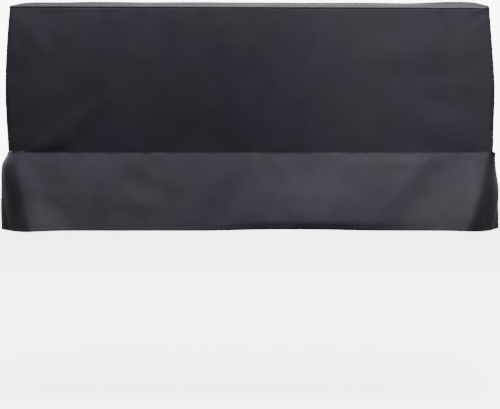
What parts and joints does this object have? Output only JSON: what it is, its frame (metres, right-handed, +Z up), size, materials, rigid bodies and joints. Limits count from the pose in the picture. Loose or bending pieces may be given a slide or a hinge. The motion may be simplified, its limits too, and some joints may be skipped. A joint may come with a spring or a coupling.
{
  "type": "piano cover",
  "caption": "Fitted cloth half cover for an upright piano: box top, level strip over the key lid and an apron to hem height, open at the bottom.",
  "frame": {"origin": "centre of the piano's lid, on the underside of the top panel where it rests", "axes": "+X along the cover's width to the right as seen from the front, -Y out of the front, +Z up"},
  "size_m": [1.6795, 0.7073, 0.763],
  "materials": {
    "coated_cloth": "smooth suede-like coated cloth, dark slate with a slight violet tint, soft satin sheen"
  },
  "bodies": {
    "root": {"top_panel": "coated_cloth", "front_panel": "coated_cloth", "key_shelf": "coated_cloth", "apron": "coated_cloth", "left_side": "coated_cloth", "right_side": "coated_cloth", "back_panel": "coated_cloth"}
  },
  "joints": []
}
